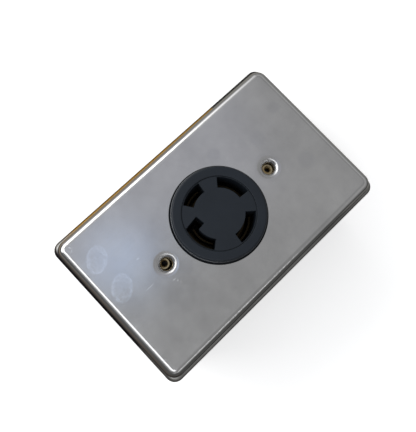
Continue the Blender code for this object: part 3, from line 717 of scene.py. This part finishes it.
def make_box():
    """The cast box: rounded rim, screw lugs, threaded hubs and the holes in its back."""
    size = BOX_HIGH - BOX_LOW
    half_y = size.y / 2
    bm = centred_block(size.x, size.y, 0, RIM_Z, BOX_CORNER, 12)
    round_edges_at(bm, 0, BACK_ROUND, 4)
    round_edges_at(bm, RIM_Z, RIM_ROUND, 8)
    box = solid("device_box_casting", bm)
    inner_x, inner_y = size.x - 2 * WALL, size.y - 2 * WALL
    cut(box, centred_block(inner_x, inner_y, WALL, RIM_Z + 5 * OVERSHOOT, BOX_INNER_CORNER))
    in_floor = 0.001
    lug_hole_z, lug_hole_radius = 0.0415, 0.0019
    additions, cutters = [], []
    for end in (-1, 1):
        wall_y, lug_y, back_y = end * (half_y - WALL / 2), end * STRAP_SCREW_Y, end * BACK_OUTLET_Y
        low_y, high_y = sorted((lug_y, wall_y))
        additions.append(block((-LUG_RADIUS, low_y, LUG_Z), (LUG_RADIUS, high_y, RIM_Z)))
        additions.append(rod((0, lug_y, LUG_Z), (0, lug_y, RIM_Z), LUG_RADIUS))
        hub_start = (0, end * (half_y - HUB_DEPTH), OUTLET_Z)
        additions.append(rod(hub_start, (0, wall_y, OUTLET_Z), HUB_RADIUS, 96))
        additions.append(rod((0, back_y, in_floor), (0, back_y, HUB_DEPTH), HUB_RADIUS, 96))
        cutters.append(outlet_thread((0, end * half_y, OUTLET_Z), (0, -end, 0), HUB_DEPTH + OVERSHOOT))
        cutters.append(outlet_thread((0, back_y, 0), (0, 0, 1), HUB_DEPTH + OVERSHOOT))
        cutters.append(rod((0, lug_y, lug_hole_z), (0, lug_y, RIM_Z + OVERSHOOT), lug_hole_radius))
    ground_low, ground_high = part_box("box_ground_screw")
    ground = (ground_low + ground_high) / 2
    additions.append(rod((ground.x, ground.y, in_floor), (ground.x, ground.y, 0.0062), 0.0050))
    cutters.append(rod((ground.x, ground.y, 0.0012), (ground.x, ground.y, 0.008), 0.0023))
    hole_x, hole_y = MOUNTING_HOLE
    for x in (-hole_x, hole_x):
        for y in (-hole_y, hole_y):
            cutters.append(rod((x, y, -OVERSHOOT), (x, y, 3 * OVERSHOOT), MOUNTING_HOLE_RADIUS))
    join(box, *additions)
    cut(box, *cutters)
    finish_mesh(box)
    place(box, CAST, "box", "device_box")


def make_plugs():
    """Slotted closure plugs with chamfered rims and threads."""
    radius = OUTLET_RADIUS - GAP
    slot_reach, slot_half_width, slot_depth = 0.0075, 0.0012, 0.0018
    for node, inward in (("closure_plug_end", (0, -1, 0)), ("closure_plug_back_upper", (0, 0, 1)),
                         ("closure_plug_back_lower", (0, 0, 1))):
        low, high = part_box(node)
        inward = Vector(inward)
        face = (low + high) / 2 - inward * (PLUG_HEIGHT / 2)
        ridges = thread(radius, 0.0010, PLUG_HEIGHT, OUTLET_PITCH, 0.0004)
        profile = [(0, 0), (radius - 0.0007, 0), (radius - 0.0001, 0.0006), *ridges, (0, PLUG_HEIGHT)]
        plug = solid(node + "_metal", turned(profile, 96, face, inward))
        across = Vector((1, 0, 0))
        third = inward.cross(across)
        reach = across * slot_reach + Vector(map(abs, third)) * slot_half_width
        reach = reach + Vector(map(abs, inward)) * slot_depth
        cut(plug, block(face - reach, face + reach))
        finish_mesh(plug)
        place(plug, CAST, "box", node)


def make_gasket():
    """The foam frame between box and plate."""
    size = GASKET_HIGH - GASKET_LOW
    bm = centred_block(size.x, size.y, GASKET_LOW.z, GASKET_HIGH.z, GASKET_CORNER, 12)
    gasket = solid("gasket_foam", bm)
    cut(gasket, centred_block(*GASKET_OPENING, GASKET_LOW.z - OVERSHOOT, GASKET_HIGH.z + OVERSHOOT,
                              BOX_INNER_CORNER))
    soften(gasket, 0.0002)
    finish_mesh(gasket)
    place(gasket, RUBBER, "box", "gasket")


# ---------------------------------------------------------------- nodes shown as they are

def dress_nodes():
    dress(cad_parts["receptacle_body"], BODY_NYLON)
    for name in ("line_1", "line_2", "neutral", "ground"):
        dress(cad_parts["contact_" + name], CONTACT_BRASS_PAINTED_SHADE)


# ---------------------------------------------------------------- studio

FACE_CENTRE = Vector((0, 0, FACE_Z))
CAMERA_OFFSET = Vector((0.009212, -0.026633, 0.166671))
CAMERA_TURN = (radians(8.297), radians(-2.876), radians(46.429))
CAMERA_LENS = 33.33
# Grey levels of the surroundings on each side: height of the direction, grey
NEAR_SKY = ((0.0, 0.14), (0.33, 0.13), (0.49, 0.19), (0.61, 0.34), (0.69, 0.52), (0.76, 0.66), (0.83, 0.70),
            (0.90, 0.36), (0.96, 0.30), (1.0, 0.38))
FAR_SKY = ((0.0, 0.30), (0.23, 0.28), (0.36, 0.42), (0.46, 0.54), (0.55, 0.57), (0.63, 0.47), (0.69, 0.38),
           (0.74, 0.31), (0.80, 0.30), (0.86, 0.39), (0.90, 0.46), (1.0, 0.41))
LEFT_SKY = ((0.0, 0.35), (0.09, 0.45), (0.25, 0.88), (0.40, 1.65), (0.52, 1.75), (0.60, 1.30), (0.67, 0.88),
            (0.74, 0.62), (0.80, 0.53), (0.86, 0.48), (0.93, 0.44), (1.0, 0.40))
RIGHT_SKY = ((0.0, 0.12), (0.10, 0.24), (0.19, 0.34), (0.36, 0.40), (0.50, 0.36), (0.60, 0.33),
             (0.84, 0.33), (0.90, 0.43), (0.95, 0.46), (1.0, 0.40))
SKY_STRENGTH = 1.8
LIGHT_DISTANCE = 1.0
# Azimuth and elevation in degrees, width, height, power in watts, colour
SOFTBOXES = {
    "window": (190, 35, 0.81, 0.39, 2.2, (1.0, 1.0, 1.0)),
    "ceiling": (270, 58.5, 1.3, 0.26, 2.2, (0.95, 0.97, 1.0)),
    "window_corner": (222, 32, 0.55, 0.50, 2.2, (1.0, 1.0, 1.0)),
    "strip_right": (-20, 21, 1.2, 0.035, 0.36, (1.0, 1.0, 1.0)),
    "sky_patch": (223, 78.4, 0.16, 0.16, 0.060, (0.44, 0.64, 1.0)),
    "sky_wash": (165, 71, 0.7, 0.5, 0.15, (0.68, 0.73, 1.0)),
}
# Low corner, high corner, height over the floor, colour
CARDS = {
    "card_left": ((-3.0, -3.0), (-0.045, 3.0), 0.0010, (0.31, 0.30, 0.27)),
    "card_left_warm": ((-0.60, -0.40), (-0.045, 0.036), 0.0015, (0.33, 0.27, 0.20)),
    "card_right": ((0.045, -3.0), (3.0, 3.0), 0.0010, (0.10, 0.10, 0.095)),
    "card_near": ((-0.10, -3.0), (0.10, -0.13), 0.0020, (0.135, 0.115, 0.10)),
    "card_near_dark": ((-0.10, -0.13), (0.10, -0.068), 0.0020, (0.06, 0.05, 0.04)),
    "card_far": ((-0.10, 0.068), (0.10, 3.0), 0.0020, (0.30, 0.29, 0.27)),
}
FLOOR_Z = -0.0002
FLOOR_GLOW = 0.48


def add_camera():
    """The camera, at the angle of the photo."""
    data = bpy.data.cameras.new("camera")
    data.sensor_width = 36
    data.lens = CAMERA_LENS
    data.clip_start = 0.005
    camera = new_object("camera", data)
    camera.location = FACE_CENTRE + CAMERA_OFFSET
    camera.rotation_euler = CAMERA_TURN
    bpy.context.scene.camera = camera


def softbox(name, azimuth, elevation, width, height, power, colour):
    """A soft rectangular light aimed at the face; azimuth 0 is +X and 90 is +Y."""
    data = bpy.data.lights.new(name, "AREA")
    data.shape = "RECTANGLE"
    data.size, data.size_y = width, height
    data.energy = power
    data.color = colour
    light = new_object(name, data)
    flat = cos(radians(elevation))
    away = Vector((flat * cos(radians(azimuth)), flat * sin(radians(azimuth)), sin(radians(elevation))))
    light.location = FACE_CENTRE + away * LIGHT_DISTANCE
    light.rotation_euler = away.to_track_quat("Z", "Y").to_euler()


def reflector(name, low, high, height, colour):
    """A card over the floor that only reflections see."""
    bm = bmesh.new()
    bmesh.ops.create_grid(bm, x_segments=1, y_segments=1, size=0.5)
    middle = (Vector(low) + Vector(high)) / 2
    bmesh.ops.scale(bm, verts=bm.verts, vec=(high[0] - low[0], high[1] - low[1], 1))
    bmesh.ops.translate(bm, verts=bm.verts, vec=(middle.x, middle.y, height))
    card = solid(name, bm)
    material = bpy.data.materials.new(name)
    material.use_nodes = True
    tree = material.node_tree
    tree.nodes.clear()
    glow = tree.nodes.new("ShaderNodeEmission")
    glow.inputs["Color"].default_value = rgba(*colour)
    output = tree.nodes.new("ShaderNodeOutputMaterial")
    tree.links.new(glow.outputs[0], output.inputs["Surface"])
    card.data.materials.append(material)
    card.visible_camera = False
    card.visible_diffuse = False
    card.visible_shadow = False
    card.visible_transmission = False


def add_floor():
    """A pale floor just under the box, lit a little from within."""
    bm = bmesh.new()
    bmesh.ops.create_grid(bm, x_segments=1, y_segments=1, size=3.0)
    floor = solid("floor", bm)
    floor.location.z = FLOOR_Z
    n = Nodes("pale_floor", (0.86, 0.86, 0.86), 0.7, 0.0)
    n.base(n.blend(n.noise(6), rgba(0.85, 0.85, 0.85), rgba(0.88, 0.88, 0.88)))
    n.shader.inputs["Emission Color"].default_value = rgba(1.0, 1.0, 1.0)
    n.shader.inputs["Emission Strength"].default_value = FLOOR_GLOW
    floor.data.materials.append(n.material)


def sky_colour(tree, height, stops):
    """Grey levels by the height of a direction: 0 at the horizon, 1 overhead."""
    ramp = tree.nodes.new("ShaderNodeValToRGB")
    tree.links.new(height, ramp.inputs["Fac"])
    elements = ramp.color_ramp.elements
    for position, _ in stops[1:-1]:
        elements.new(position)
    for element, (_, grey) in zip(elements, stops):
        element.color = rgba(*[grey / SKY_STRENGTH] * 3)
    return ramp.outputs["Color"]


def mixed(tree, coordinate, low, high, first, second):
    """The first colour where a coordinate is under low, the second where it is over high."""
    side = tree.nodes.new("ShaderNodeMapRange")
    tree.links.new(coordinate, side.inputs["Value"])
    side.inputs["From Min"].default_value = low
    side.inputs["From Max"].default_value = high
    mix = tree.nodes.new("ShaderNodeMix")
    mix.data_type = "RGBA"
    tree.links.new(side.outputs["Result"], mix.inputs[MIX_FACTOR])
    tree.links.new(first, mix.inputs[MIX_FIRST])
    tree.links.new(second, mix.inputs[MIX_SECOND])
    return mix.outputs[MIX_RESULT]


def add_world():
    """Grey studio with its own light and dark bands on each of the four sides."""
    world = bpy.data.worlds.new("studio")
    bpy.context.scene.world = world
    world.use_nodes = True
    tree = world.node_tree
    direction = tree.nodes.new("ShaderNodeTexCoord").outputs["Generated"]
    split = tree.nodes.new("ShaderNodeSeparateXYZ")
    tree.links.new(direction, split.inputs[0])
    across, along, height = split.outputs
    near, far, left, right = [sky_colour(tree, height, stops)
                              for stops in (NEAR_SKY, FAR_SKY, LEFT_SKY, RIGHT_SKY)]
    sides = mixed(tree, across, -0.1, 0.1, left, right)
    sides = mixed(tree, along, -0.32, -0.20, near, sides)
    sides = mixed(tree, along, 0.36, 0.46, sides, far)
    tree.links.new(sides, tree.nodes["Background"].inputs["Color"])
    tree.nodes["Background"].inputs["Strength"].default_value = SKY_STRENGTH


def add_studio():
    add_camera()
    add_floor()
    add_world()
    for name, settings in SOFTBOXES.items():
        softbox(name, *settings)
    for name, settings in CARDS.items():
        reflector(name, *settings)
    bpy.context.scene.view_settings.view_transform = "Standard"


make_cover_plate()
make_face()
make_strap()
make_screws()
make_clamps()
make_box()
make_plugs()
make_gasket()
dress_nodes()
add_studio()
